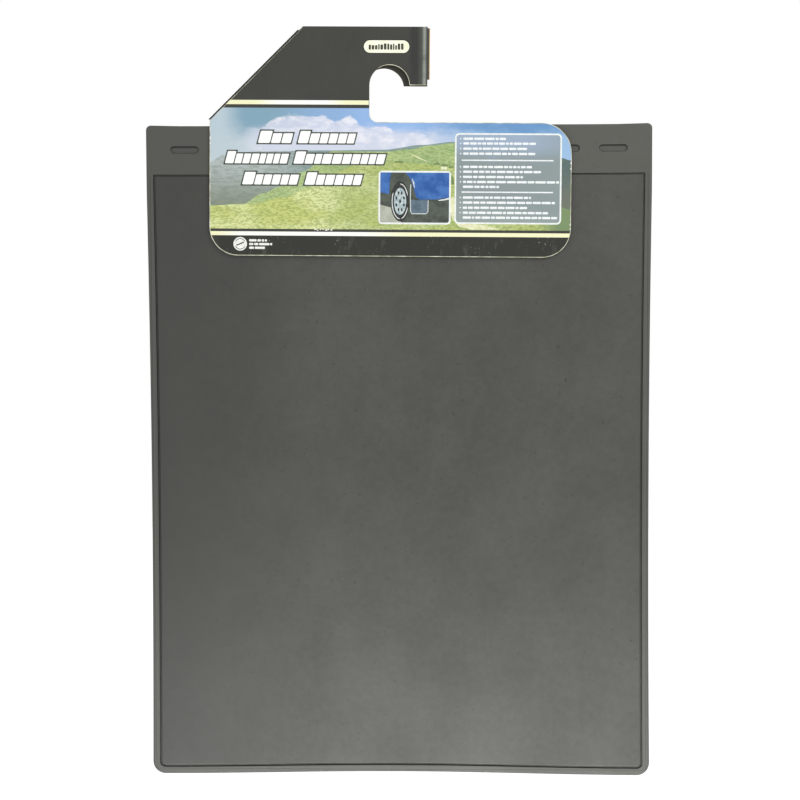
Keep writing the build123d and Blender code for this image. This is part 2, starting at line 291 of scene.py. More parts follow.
def board_finish():
    """Printed top sheet: dark ink that ripples over the flutes, pale where die-cut, torn at the fold, with
    a painted shade band and painted sheen bands where the hook bends towards the fold.
    """
    look = Finish("printed_board", 0.3)
    place = look.card_place()
    x, _, z = look.split(place)
    nx, ny, _ = look.split(look.node("ShaderNodeNewGeometry", {}, "Normal"))
    grain = look.noise(place, 0.9, 4.0, 0.6)
    wash = look.noise(place, 0.035, 4.0, 0.6)
    ink = look.blend(wash, shown(72, 72, 69), shown(80, 81, 77))
    band = look.span(z, -77.0, -79.0)
    ink = look.blend(band, ink, shown(66, 67, 62))
    on_hook = look.span(z, 19.0, 22.0)
    # painted shade: a darker band on the hook before the fold, where the bending card turns away from the
    # light
    painted_bend_shade = look.times(look.span(x, 6.5, 10.0), look.span(x, 14.4, 12.8))
    painted_bend_shade = look.times(look.times(painted_bend_shade, on_hook), 0.55)
    ink = look.blend(painted_bend_shade, ink, shown(52, 55, 50))
    # painted sheen: two pale upright bands on the hook near the fold, broken up along their length,
    # standing for gloss that catches the light on the bend
    along = look.span(look.noise(place, 0.09, 3.0, 0.6, (0.3, 1.0, 1.0)), 0.32, 0.58, 0.4, 0.9)
    painted_sheens = ((13.4, 20.4, 0.55, shown(106, 111, 105)), (16.2, 19.9, 1.0, shown(150, 155, 147)))
    for start, end, peak, tone in painted_sheens:
        painted_shine = look.times(look.span(x, start, 18.0), look.span(x, end, 18.4))
        painted_shine = look.times(look.times(painted_shine, on_hook), along)
        ink = look.blend(look.times(painted_shine, peak), ink, tone)
    smudge = look.noise(place, 0.22, 4.0, 0.65, (1, 1, 0.35))
    share = look.plus(look.times(band, 0.14), 0.03)
    smudge = look.times(look.span(smudge, 0.56, 0.72), share)
    ink = look.blend(smudge, ink, shown(128, 128, 122))
    chip = look.times(look.span(look.noise(place, 1.1, 2.0, 0.5), 0.70, 0.74), band)
    chip = look.times(chip, look.span(wash, 0.5, 0.62))
    ink = look.blend(chip, ink, shown(196, 194, 182))
    paper = look.blend(grain, shown(176, 168, 142), shown(222, 216, 192))
    cut = look.span(look.math("ABSOLUTE", ny), 0.75, 0.35)
    at_fold = look.times(look.span(x, FOLD_X - 0.6, FOLD_X - 0.2), look.span(z, 20.0, 22.0))
    cut = look.times(cut, look.minus(1.0, at_fold))
    colour = look.blend(cut, ink, paper)
    crack_line = look.plus(nx, look.times(look.minus(grain, 0.5), 0.22))
    crack = look.times(look.span(crack_line, 0.70, 0.78), at_fold)
    torn = look.blend(grain, shown(170, 128, 76), shown(242, 206, 146))
    look.colour(look.blend(crack, colour, torn))
    rough = look.plus(look.times(wash, 0.16), 0.2)
    look.roughness(look.math("MAXIMUM", rough, look.times(look.math("MAXIMUM", cut, crack), 0.8)))
    flute = look.math("SINE", look.times(x, 2 * math.pi / FLUTE_PITCH))
    dents = look.times(look.noise(place, 0.12, 3.0, 0.6), 2.5)
    look.bump(look.plus(flute, dents), 0.000012)
    return look.material


def liner_finish(name, dark, light):
    """Raw board paper: soft fibres and flecks."""
    look = Finish(name, 0.85)
    place = look.card_place()
    fibre = look.noise(place, 0.7, 6.0, 0.7, (1, 1, 0.3))
    fleck = look.span(look.noise(place, 2.4, 2.0, 0.5), 0.66, 0.74)
    colour = look.blend(fibre, shown(*dark), shown(*light))
    look.colour(look.blend(look.times(fleck, 0.5), colour, scaled(shown(*dark), 0.5)))
    look.bump(fibre, 0.00003, 0.7)
    return look.material


def glue_finish(name, dark, light, roughness, see_through):
    """Dried or tacky glue: a little cloudy, smooth in patches."""
    look = Finish(name, roughness)
    place = look.card_place()
    cloud = look.noise(place, 0.5, 4.0, 0.6)
    look.colour(look.blend(cloud, shown(*dark), shown(*light)))
    look.shader.inputs["Transmission Weight"].default_value = see_through
    look.bump(cloud, 0.00008, 0.5)
    return look.material


def ink_finish(name, low, high, scale, roughness=0.34):
    """One litho ink: two close 0-255 tones mixed by a soft noise, over the rippled board."""
    look = Finish(name, roughness)
    place = look.card_place()
    mottle = look.span(look.noise(place, scale, 5.0, 0.6), 0.35, 0.65)
    look.colour(look.blend(mottle, shown(*low), shown(*high)))
    ripple = look.math("SINE", look.times(look.split(place)[0], 2 * math.pi / FLUTE_PITCH))
    look.bump(ripple, 0.00001)
    return look.material


def sky_finish():
    """Printed summer sky: hazy on the left, deep blue on the right, one long bank of cloud."""
    look = Finish("ink_sky", 0.32)
    place = look.card_place()
    x, _, z = look.split(place)
    high = look.blend(look.span(x, -126, -107), shown(184, 200, 209), shown(133, 165, 183))
    high = look.blend(look.span(x, -92, -48), high, shown(142, 174, 212))
    high = look.blend(look.span(x, -50, -12), high, shown(150, 183, 227))
    high = look.blend(look.span(x, 2, 66), high, shown(112, 152, 196))
    haze = look.blend(look.span(x, -120, -80), shown(188, 202, 208), shown(206, 212, 226))
    haze = look.blend(look.span(x, 15, 60), haze, shown(156, 188, 220))
    puff = look.noise(place, 0.07, 7.0, 0.62, (1, 1, 2.0))
    veil = look.times(look.minus(puff, 0.5), 22.0)
    sky = look.blend(look.span(look.plus(z, veil), 1.0, -15.0), high, haze)
    brow = -2.5
    for start, end, rise in ((-98, -84, 6.5), (-84, -68, 2.0), (-54, -43, -4.5), (-43, -35, 3.5),
                             (-34, -24, -6.5), (-11, 0, -4.0), (12, 34, -9.0)):
        brow = look.plus(brow, look.times(look.span(x, start, end), rise))
    under = look.minus(look.plus(brow, look.times(veil, 0.45)), z)
    bank = look.times(look.span(under, -0.6, 1.6), look.span(x, -112, -92))
    bank = look.times(bank, look.span(x, 34, 16))
    thin = look.times(look.span(under, 24.0, 8.0), 0.85)
    shade = look.blend(look.span(puff, 0.40, 0.64), shown(204, 210, 226), shown(238, 236, 241))
    look.colour(look.blend(look.times(bank, thin), sky, shade))
    return look.material


def far_hill_finish():
    """Hazy far slopes: blue-grey at the left, dark wooded green-grey at the right."""
    look = Finish("ink_far_hills", 0.34)
    place = look.card_place()
    x, _, z = look.split(place)
    left = look.blend(look.span(z, -26, -58), shown(178, 187, 186), shown(140, 148, 134))
    right = look.blend(look.span(z, -26, -60), shown(96, 112, 112), shown(118, 120, 110))
    middle = shown(140, 160, 158)
    ground = look.blend(look.span(x, -95, -50), left, middle)
    ground = look.blend(look.span(x, 60, 105), ground, right)
    fields = look.noise(place, 0.16, 6.0, 0.7, (1, 1, 3.0))
    shade = look.times(look.span(fields, 0.42, 0.62), 0.42)
    look.colour(look.blend(shade, ground, shown(112, 126, 112)))
    return look.material


def field_finish(name, dull, bright, scale, stretch):
    """Printed grassland: bands of light over a stippled sward."""
    look = Finish(name, 0.36)
    place = look.card_place()
    x = look.split(place)[0]
    sweep = look.span(look.noise(place, 0.03, 3.0, 0.5, (1, 1, 2.4)), 0.36, 0.62)
    blades = look.span(look.noise(place, scale, 4.0, 0.7, stretch), 0.42, 0.56)
    sward = look.blend(sweep, shown(*dull), shown(*bright))
    dark = look.blend(look.span(x, -60, 110), shown(140, 156, 92), shown(112, 138, 88))
    share = look.times(look.minus(1.0, blades), 0.62)
    sward = look.blend(share, sward, dark)
    lusher = look.times(look.span(x, -64, -28), 0.32)
    sward = look.blend(lusher, sward, shown(136, 160, 100))
    look.colour(look.blend(look.span(x, 96, 114), sward, shown(126, 146, 108)))
    return look.material


def panel_finish():
    """Grey see-through panel: bluer at its head where the sky shows through, greener at its foot."""
    look = Finish("ink_panel", 0.3)
    place = look.card_place()
    x, _, z = look.split(place)
    wave = look.times(look.noise(place, 0.06, 4.0, 0.6), 14.0)
    fading = look.span(look.plus(z, wave), -4.0, -22.0)
    tone = look.blend(fading, shown(158, 174, 194), shown(142, 152, 152))
    lean = look.plus(z, look.times(x, 0.22))
    tone = look.blend(look.span(lean, -33.0, -48.0), tone, shown(150, 161, 159))
    look.colour(look.blend(look.times(look.span(x, 84, 116), 0.5), tone, shown(144, 157, 158)))
    return look.material


def stripe_finish():
    """Trim stripe: cream at its ends and nearly white where the light catches it."""
    look = Finish("ink_stripe", 0.3)
    place = look.card_place()
    x, _, z = look.split(place)
    # painted reflection: each stripe is painted nearly white over the stretch where a light would glare on
    # the gloss
    upper = look.times(look.span(x, -104, -82), look.span(x, -34, -52))
    lower = look.times(look.span(x, -130, -108), look.span(x, 12, -28))
    under = look.span(z, -20, -40)
    middle = look.plus(look.times(under, lower), look.times(look.minus(1.0, under), upper))
    tone = look.blend(middle, shown(240, 240, 198), shown(248, 249, 243))
    worn = look.times(look.span(look.noise(place, 0.5, 4.0, 0.6), 0.55, 0.75), 0.25)
    look.colour(look.blend(worn, tone, shown(224, 220, 180)))
    return look.material


# ---- mesh helpers ----
def arc(centre, radius, start, end, steps=8):
    """Points on an arc from one angle to another, in degrees."""
    turns = [math.radians(start + (end - start) * k / steps) for k in range(steps + 1)]
    return [(centre[0] + radius * math.cos(a), centre[1] + radius * math.sin(a)) for a in turns]


def oval(centre, half_width, half_height, steps=40):
    turns = [2 * math.pi * k / steps for k in range(steps)]
    return [(centre[0] + half_width * math.cos(a), centre[1] + half_height * math.sin(a)) for a in turns]


def rounded_box(left, right, low, high, low_radius, high_radius=None):
    """Outline of a box with rounded corners."""
    top = low_radius if high_radius is None else high_radius
    return (
        arc((left + low_radius, low + low_radius), low_radius, 180, 270)
        + arc((right - low_radius, low + low_radius), low_radius, 270, 360)
        + arc((right - top, high - top), top, 0, 90)
        + arc((left + top, high - top), top, 90, 180)
    )


def flap_outline(margin):
    low_radius = max(BOTTOM_CORNER - margin, 2.0)
    high_radius = max(TOP_CORNER - margin, 1.0)
    left, right = FLAP_LEFT + margin, FLAP_RIGHT - margin
    return rounded_box(left, right, FLAP_BOTTOM + margin, FLAP_TOP - margin, low_radius, high_radius)


def panel_outline(out):
    """Outline of the sunk panel, drawn `out` beyond its wall."""
    left, right = FLAP_LEFT + BORDER - out, FLAP_RIGHT - BORDER + out
    low, high = FLAP_BOTTOM + BORDER - out, FLAP_TOP - HEADER + out
    return rounded_box(left, right, low, high, PANEL_CORNER + out, max(0.5 + out, 0.25))


def slot_outline(centre, out):
    """Outline of one blind slot, drawn `out` beyond its wall."""
    reach = SLOT_LENGTH / 2 - SLOT_RADIUS
    radius = SLOT_RADIUS + out
    return arc((centre + reach, 0), radius, -90, 90, 12) + arc((centre - reach, 0), radius, 90, 270, 12)


def bridge(mesh, first, second):
    """Faces between two rings of as many vertices."""
    count = len(first)
    for k in range(count):
        after = (k + 1) % count
        mesh.faces.new((first[k], first[after], second[after], second[k]))


def loft(mesh, sections):
    """Skin over (outline, depth) sections. Gives the first and last rings."""
    rings = [[mesh.verts.new((x * MM, -depth * MM, z * MM)) for x, z in line] for line, depth in sections]
    for first, second in zip(rings, rings[1:]):
        bridge(mesh, first, second)
    return rings[0], rings[-1]


def cap(mesh, *rings):
    """Fill the flat area that the rings bound."""
    edges = [mesh.edges.get((r[k - 1], r[k])) for r in rings for k in range(len(r))]
    bmesh.ops.triangle_fill(mesh, use_beauty=True, edges=edges, normal=(0, -1, 0))


def slice_across(mesh, axis, places):
    """Cut the mesh by planes across an axis, so that it can bend there."""
    for place in places:
        point, normal = Vector((0, 0, 0)), Vector((0, 0, 0))
        point[axis] = place * MM
        normal[axis] = 1.0
        everything = mesh.verts[:] + mesh.edges[:] + mesh.faces[:]
        bmesh.ops.bisect_plane(mesh, geom=everything, dist=2e-5, plane_co=point, plane_no=normal)


def steps_between(low, high, step):
    count = max(1, round((high - low) / step))
    return [low + (high - low) * k / count for k in range(count + 1)]


def add_piece(name, mesh, material, body=None, smooth_under=None):
    """Turn a bmesh into a finished piece."""
    bmesh.ops.recalc_face_normals(mesh, faces=mesh.faces[:])
    data = bpy.data.meshes.new(name)
    mesh.to_mesh(data)
    mesh.free()
    if smooth_under is not None:
        data.shade_smooth()
        data.set_sharp_from_angle(angle=math.radians(smooth_under))
    data.materials.append(material)
    piece = bpy.data.objects.new(name, data)
    bpy.context.scene.collection.objects.link(piece)
    if body is not None:
        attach(piece, body)
    return piece


# ---- the flap: each ply is one sheet, cut into finer strips where the CAD model has its hinge ----
def warp(x, z):
    """How far the relaxed sheet bows forward at a place; nothing near the header."""
    down = min(1.0, max(0.0, (WARP_START - z) / (WARP_START - FLAP_BOTTOM)))
    across = 0.5 + 0.5 * math.cos((x - 40.0) / (FLAP_RIGHT - FLAP_LEFT) * 1.2 * math.pi)
    return WARP * down * down * (3 - 2 * down) * across


def relax(mesh):
    """Let the cut sheet take its set: sides drawn in at mid height, foot arched up, face bowed forward."""
    middle = (FLAP_LEFT + FLAP_RIGHT) / 2
    half = (FLAP_RIGHT - FLAP_LEFT) / 2
    for v in mesh.verts:
        x, z = v.co.x / MM, v.co.z / MM
        down = (FLAP_TOP - z) / (FLAP_TOP - FLAP_BOTTOM)
        below_header = min(1.0, max(0.0, (down - 0.1) / 0.9))
        drawn_in = EDGE_BOW * math.sin(math.pi * below_header) ** 0.9 if 0 < below_header < 1 else 0.0
        lifted = down**4 * (FOOT_LIFT + FOOT_ARCH * math.cos(math.pi * (x - middle) / half))
        inward = min(1.0, (half - abs(x - middle)) / 26.0)
        lifted -= HEAD_SAG * inward * max(0.0, 1 - 9 * down)
        v.co.x -= drawn_in * (x - middle) / half * MM
        v.co.z += lifted * MM
        v.co.y -= warp(x, z) * MM


def bending_ply(name, mesh, material, replaced):
    """Slice, relax and finish a ply, keep its resting place and hide the CAD parts that it replaces. The
    cuts are close together around the CAD model's hinge, and they keep clear of the outlines' own corners."""
    bend_low, bend_high = HINGE.z / MM - BEND_REACH, HINGE.z / MM + BEND_REACH
    slice_across(mesh, 2, steps_between(FLAP_BOTTOM + 5.3, bend_low - 2.2, 9.0))
    slice_across(mesh, 2, steps_between(bend_low, bend_high, 3.0))
    slice_across(mesh, 2, steps_between(bend_high + 6.1, FLAP_TOP - 3.3, 12.0))
    slice_across(mesh, 0, steps_between(FLAP_LEFT + 9.7, FLAP_RIGHT - 9.7, 14.0))
    relax(mesh)
    return hang_ply(add_piece(name, mesh, material, smooth_under=38), replaced)


def hang_ply(ply, replaced):
    """Keep the resting place for its finish, hide the CAD parts that it replaces and fix its transform into
    its mesh.
    """
    rest = ply.data.attributes.new("rest", "FLOAT_VECTOR", "POINT")
    rest.data.foreach_set("vector", [c for v in ply.data.vertices for c in v.co])
    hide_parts(*replaced)
    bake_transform(ply)
    return ply


def make_facing(material):
    """Show-side ply: rounded rim, sunk panel with its edge groove, and a row of blind slots."""
    mesh = bmesh.new()
    quarter = [math.radians(15 * k) for k in range(7)]
    rounding = [(EDGE_ROUND * (1 - math.cos(a)), FACE - EDGE_ROUND * (1 - math.sin(a))) for a in quarter]
    sides = [(0, PLY_JOINT), (0, FACE - EDGE_ROUND - 0.3)] + rounding + [(EDGE_ROUND + 0.4, FACE)]
    rear, border = loft(mesh, [(flap_outline(margin), depth) for margin, depth in sides])
    # sections of the panel's wall and of a slot's: how far out of the outline, and how deep
    wall = [(0.85, FACE), (0.4, FACE), (0.15, FACE - 0.06), (0, FACE - 0.28),
            (-0.08, GROOVE_DEPTH + 0.2), (-0.25, GROOVE_DEPTH), (-0.75, GROOVE_DEPTH),
            (-1.05, PANEL_DEPTH - 0.12), (-1.3, PANEL_DEPTH), (-1.9, PANEL_DEPTH)]
    brink, floor = loft(mesh, [(panel_outline(out), depth) for out, depth in wall])
    mouths = []
    dip = [(0.9, FACE), (0.5, FACE), (0.12, FACE - 0.1), (0, FACE - 0.3),
           (-0.1, SLOT_FLOOR + 0.2), (-0.3, SLOT_FLOOR), (-0.7, SLOT_FLOOR)]
    for k in range(SLOT_COUNT):
        centre = (k - (SLOT_COUNT - 1) / 2) * SLOT_PITCH
        mouth, bed = loft(mesh, [(slot_outline(centre, out), depth) for out, depth in dip])
        mouths.append(mouth)
        cap(mesh, bed)
    cap(mesh, rear)
    cap(mesh, floor)
    cap(mesh, border, brink, *mouths)
    return bending_ply("flap_facing", mesh, material, ["upper_facing", "lower_facing"])


def scrim_bed_outline(margin):
    """Outline of the bed that the scrim lies in, drawn in by `margin`."""
    low_radius = max(BOTTOM_CORNER - SCRIM_MARGIN, 2.0) - margin
    left, right = SCRIM_LOW.x + margin, SCRIM_HIGH.x - margin
    return rounded_box(left, right, SCRIM_LOW.z + margin, SCRIM_HIGH.z - margin, low_radius, 0.8)


def make_backing(material):
    """Rear ply: eased rear edge and the shallow bed that the scrim lies in."""
    mesh = bmesh.new()
    quarter = [math.radians(22.5 * k) for k in range(5)]
    rounding = [(REAR_ROUND * (1 - math.cos(a)), REAR_ROUND * (1 - math.sin(a))) for a in quarter]
    sides = [(0, PLY_JOINT), (0, REAR_ROUND + 0.3)] + rounding + [(REAR_ROUND + 0.5, 0)]
    front, rear = loft(mesh, [(flap_outline(margin), depth) for margin, depth in sides])
    lip, bed = loft(mesh, [(scrim_bed_outline(0), -SCRIM_LOW.y), (scrim_bed_outline(0.05), -SCRIM_HIGH.y)])
    cap(mesh, rear)
    cap(mesh, bed)
    cap(mesh, front, lip)
    return bending_ply("flap_backing", mesh, material, ["upper_backing", "lower_backing"])


def yarn(mesh, path, half_width, depths, along):
    """A flat closed yarn through (x, z) places, `half_width` to each side."""
    near, far = depths
    rings = []
    for x, z in path:
        dx, dz = (half_width, 0) if along == "z" else (0, half_width)
        here, there = (x - dx, z - dz), (x + dx, z + dz)
        corners = ((here, near), (there, near), (there, far), (here, far))
        rings.append([mesh.verts.new((px * MM, -depth * MM, pz * MM)) for (px, pz), depth in corners])
    for first, second in zip(rings, rings[1:]):
        bridge(mesh, first, second)
    mesh.faces.new(rings[0])
    mesh.faces.new(rings[-1])


def make_scrim(material):
    """Open glass-fibre net between the plies: weft yarns laid over warp yarns."""
    mesh = bmesh.new()
    rear, front = -SCRIM_HIGH.y, -SCRIM_LOW.y
    middle = (rear + front) / 2
    inset = 3.0
    warp_depths = (rear + 0.01, middle - 0.005)
    weft_depths = (middle + 0.005, front - 0.01)
    low, high = SCRIM_LOW.z + inset, SCRIM_HIGH.z - inset
    left, right = SCRIM_LOW.x + inset, SCRIM_HIGH.x - inset
    for x in steps_between(left, right, SCRIM_PITCH):
        path = [(x, z) for z in steps_between(low, high, 5.0)]
        yarn(mesh, path, YARN_HALF_WIDTH, warp_depths, "z")
    for z in steps_between(low, high, SCRIM_PITCH):
        path = [(x, z) for x in steps_between(left, right, 24.0)]
        yarn(mesh, path, YARN_HALF_WIDTH, weft_depths, "x")
    relax(mesh)
    scrim = add_piece("flap_scrim", mesh, material)
    return hang_ply(scrim, ["upper_scrim", "lower_scrim"])


# ---- the card's printed picture ----
def print_area(name, outlines, lift, material):
    """Closed inked areas that stand `lift` proud of the card's face."""
    mesh = bmesh.new()
    for outline in outlines:
        rings = []
        for depth in (CARD_FACE - INK_ROOT, CARD_FACE + lift):
            places = [Vector((x * MM, -depth * MM, z * MM)) for x, z in outline]
            rings.append([mesh.verts.new(CARD_PLANE @ place) for place in places])
        bridge(mesh, *rings)
        for ring in rings:
            mesh.faces.new(ring)
    return add_piece(name, mesh, material, "header_card")


def card_left_edge(z):
    corner = CARD_BOTTOM + CARD_CORNER
    if z > SLANT_FOOT:
        return CARD_LEFT + z - SLANT_FOOT
    if z < corner:
        return CARD_LEFT + CARD_CORNER - math.sqrt(CARD_CORNER**2 - (corner - z) ** 2)
    return CARD_LEFT


def card_right_edge(z):
    corner = CARD_BOTTOM + CARD_CORNER
    if z > SHOULDER:
        return NOTCH_LEFT
    if z < corner:
        return CARD_RIGHT - CARD_CORNER + math.sqrt(CARD_CORNER**2 - (corner - z) ** 2)
    return CARD_RIGHT


def picture_top(x):
    """Upper limit of the picture at x: the stripe, the throat, the shoulder line and the shoulder."""
    if x <= NOTCH_LEFT:
        return min(PICTURE_TOP, SLANT_FOOT + x - CARD_LEFT) - TRIM
    throat = NOTCH_LEFT + THROAT_RADIUS
    if x < throat:
        return SHOULDER + THROAT_RADIUS - math.sqrt(THROAT_RADIUS**2 - (throat - x) ** 2) - TRIM
    bend = CARD_RIGHT - SHOULDER_RADIUS
    if x > bend:
        return SHOULDER - SHOULDER_RADIUS + math.sqrt(max(0, SHOULDER_RADIUS**2 - (x - bend) ** 2)) - TRIM
    return SHOULDER - TRIM


def crest(points):
    """Rounded skyline through a few (x, z) points."""
    def height(x):
        for (x0, z0), (x1, z1) in zip(points, points[1:]):
            if x <= x1:
                t = max(0.0, (x - x0) / (x1 - x0))
                return z0 + (z1 - z0) * t * t * (3 - 2 * t)
        return points[-1][1]
    return height


def strip(top, bottom, left, right):
    """Outline of the area under one skyline and over another."""
    bend = CARD_RIGHT - SHOULDER_RADIUS
    places = set(steps_between(left, right, 1.4)) | {NOTCH_LEFT, NOTCH_LEFT + 0.01}
    places |= {bend + (CARD_RIGHT - TRIM - bend) * math.sin(math.radians(a)) for a in range(0, 91, 6)}
    places = sorted(x for x in places if left <= x <= right)
    upper = [(x, top(x)) for x in places]
    lower = [(x, min(bottom(x), top(x) - 0.02)) for x in places]
    return upper + lower[::-1]


def band(low, high):
    """Outline of a level band of print from one edge of the card to the other."""
    levels = steps_between(low, high, 0.8)
    left = [(card_left_edge(z) + TRIM, z) for z in levels]
    right = [(card_right_edge(z) - TRIM, z) for z in levels]
    return left + right[::-1]


def bar(left, right, low, high, slant=0.0, easing=0.22):
    """Outline of an upright or leaning bar with eased corners."""
    ease = easing * min(right - left, high - low)
    lean = [(0, 0), (1, 0), (1, 1), (0, 1)]
    outline = []
    corners = [(left, low), (right, low), (right, high), (left, high)]
    for (x, z), (u, v) in zip(corners, lean):
        inward_x = ease if u == 0 else -ease
        inward_z = ease if v == 0 else -ease
        pair = [(x, z + inward_z), (x + inward_x, z)]
        outline += pair if u == v else pair[::-1]
    return [(x + slant * (z - low), z) for x, z in outline]


def ribbon(path, widths):
    """Outline of a line of print that follows a path, as wide at each point as `widths` says."""
    sides = [[], []]
    for k, (x, z) in enumerate(path):
        x0, z0 = path[max(0, k - 1)]
        x1, z1 = path[min(len(path) - 1, k + 1)]
        length = math.hypot(x1 - x0, z1 - z0) or 1.0
        nx, nz = -(z1 - z0) / length, (x1 - x0) / length
        sides[0].append((x + nx * widths[k] / 2, z + nz * widths[k] / 2))
        sides[1].append((x - nx * widths[k] / 2, z - nz * widths[k] / 2))
    return sides[0] + sides[1][::-1]


def thicket(left, right, foot, height, seed):
    """Outline of a low clump with a bumpy top."""
    rng = random.Random(seed)
    count = max(6, round((right - left) / 0.45))
    crown = []
    for k in range(count + 1):
        swell = math.sin(math.pi * k / count) ** 0.6
        top = foot + height * swell * rng.uniform(0.55, 1.0) + 0.12
        crown.append((left + (right - left) * k / count, top))
    return [(left, foot), (right, foot)] + crown[::-1]


def make_landscape():
    """Generic open country under a summer sky, in fitted areas side by side."""
    left, right = CARD_LEFT + TRIM, CARD_RIGHT - TRIM
    far = crest([(-133, -27.5), (-122, -22.0), (-98, -19.6), (-48, -18.7), (-10, -18.0), (17, -14.5),
                 (39, -12.2), (70, -12.0), (95, -17.0), (113, -22.8), (122, -24.8)])
    green = crest([(-133, -57.6), (-109, -56.5), (-95, -49.0), (-82, -44.0), (-68, -34.0),
                   (-45, -19.2), (-10, -19.4), (8, -17.6), (22, -15.0), (39, -13.2), (60, -15.0),
                   (100, -52.0), (122, -59.0)])
    meadow = crest([(-133, -57.9), (-106, -56.9), (-80, -51.6), (-60, -44.8), (-45, -34.0), (-20, -25.5),
                    (-4, -27.0), (15, -27.6), (38, -30.0), (62, -42.0), (100, -62.0), (122, -66.0)])
    print_area("print_sky", [strip(picture_top, far, left, right)], INK_1, sky_finish())
    print_area("print_far_hills", [strip(far, green, left, right)], INK_1, far_hill_finish())
    hill_ink = field_finish("ink_hills", (172, 193, 142), (206, 218, 160), 0.36, (1, 1, 2.2))
    print_area("print_hills", [strip(green, meadow, left, right)], INK_1, hill_ink)
    meadow_ink = field_finish("ink_meadow", (198, 206, 130), (222, 228, 168), 0.38, (1, 1, 2.4))
    print_area("print_meadow", [strip(meadow, lambda x: PICTURE_BOTTOM, left, right)], INK_1, meadow_ink)
    tracks = [
        ribbon([(9.6, -21.0), (14.0, -23.2), (20.4, -26.0)], [0.5, 1.0, 0.4]),
        [(36.5, -53.0), (39.2, -50.0), (41.0, -60.0), (45.0, -69.0), (62, -70.4), (72, -73.4),
         (52, -73.4), (43.5, -71.6), (38.5, -66.0), (36.8, -60.0)],
        bar(30.2, 34.6, -31.6, -29.6),
    ]
    path_ink = ink_finish("ink_path", (214, 216, 168), (236, 236, 204), 0.3)
    print_area("print_path", tracks, INK_SPOT, path_ink)
    bushes = [thicket(-2.6, 4.4, -27.0, 1.5, 3), thicket(24.8, 30.0, -28.2, 1.7, 4),
              thicket(30.4, 35.2, -29.2, 1.5, 5), thicket(35.6, 39.4, -30.6, 2.2, 6),
              thicket(37.2, 39.8, -42.0, 9.5, 12), thicket(-16.0, -11.0, -23.2, 0.9, 9)]
    bush_ink = ink_finish("ink_bushes", (104, 124, 84), (136, 154, 98), 0.8)
    print_area("print_bushes", bushes, INK_SPOT, bush_ink)


def make_stripes():
    """The two pale trim stripes that bound the picture."""
    low, high = 13.2, 16.2
    upper = [(card_left_edge(low) + TRIM, low), (NOTCH_LEFT - TRIM, low), (NOTCH_LEFT - TRIM, high),
             (card_left_edge(high) + TRIM, high)]
    print_area("print_stripes", [upper, band(-78.5, -75.7)], INK_1, stripe_finish())


def make_title():
    """Three lines of plain leaning blocks where the real card has its words."""
    # each line: top, foot, and the left, right and number of blocks of each group
    lines = [
        (-4.3, -14.7, [(-98.4, -72.6, 3), (-70.4, -28.4, 6)]),
        (-18.6, -29.0, [(-121.6, -75.4, 8), (-73.4, -7.4, 10)]),
        (-33.1, -43.7, [(-109.5, -68.2, 6), (-65.6, -23.6, 6)]),
    ]
    slant, rim, gap, stem = 0.26, 0.95, 0.8, 0.16
    rng = random.Random(11)
    faces, rims = [], []
    for high, low, words in lines:
        small = high - stem * (high - low)
        for left, right, count in words:
            usable = right - left - slant * (high - low) - gap * (count - 1)
            shares = [1.2] + [rng.uniform(0.78, 1.1) for _ in range(count - 1)]
            x = left
            for k, share in enumerate(shares):
                wide = usable * share / sum(shares)
                top = high if k == 0 else small
                faces.append(bar(x, x + wide, low + rim, top - rim, slant, 0.07))
                if k == 0:
                    step = x + wide + rim
                x += wide + gap
            end = x - gap + rim
            corners = [(left - rim, low), (end, low), (end, small), (step, small), (step, high),
                       (left - rim, high)]
            rims.append([(px + slant * (pz - low - rim), pz) for px, pz in corners])
    rim_ink = ink_finish("ink_title_rim", (74, 80, 74), (94, 99, 92), 0.6)
    face_ink = ink_finish("ink_title_face", (246, 247, 244), (254, 254, 252), 0.4)
    print_area("print_title_rims", rims, INK_2, rim_ink)
    print_area("print_title_faces", faces, INK_3, face_ink)


def dashes(rng, left, right, middle, height):
    """A row of plain dashes in the rhythm of small type."""
    marks = []
    x = left
    while x < right - 1.0:
        wide = min(rng.uniform(1.8, 7.4), right - x)
        marks.append(bar(x, x + wide, middle - height / 2, middle + height / 2))
        x += wide + 0.55
    return marks


def make_info_panel(white):
    """Grey see-through panel with its pale frame, dividers and rows of dashes."""
    left, right, low, high, radius = 40.0, 114.8, -69.5, -6.1, 3.2
    rim = 1.15
    print_area("print_panel_frame", [rounded_box(left, right, low, high, radius)], INK_2, white)
    inside = rounded_box(left + rim, right - rim, low + rim, high - rim, radius - rim)
    print_area("print_panel_glass", [inside], INK_3, panel_finish())
    # each row: middle, right end
    rows = [(-10.0, 75.6), (-13.3, 96.6), (-16.9, 90.4), (-20.4, 97.4), (-29.6, 94.0), (-33.0, 100.4),
            (-36.6, 87.8), (-40.1, 113.0), (-43.5, 71.1), (-51.0, 93.6), (-54.5, 110.4), (-58.1, 90.9),
            (-61.6, 105.6), (-65.0, 112.0)]
    runs_on = (-43.5, -65.0)
    rng = random.Random(23)
    marks = [bar(44.8, 109.0, z - 0.45, z + 0.45) for z in (-25.0, -47.2)]
    for z, end in rows:
        if z not in runs_on:
            marks.append(oval((44.0, z), 0.5, 0.5, 12))
        marks += dashes(rng, 45.8, end, z, 1.6)
    type_ink = ink_finish("ink_panel_type", (226, 232, 232), (244, 247, 247), 0.5)
    print_area("print_panel_type", marks, INK_4, type_ink)


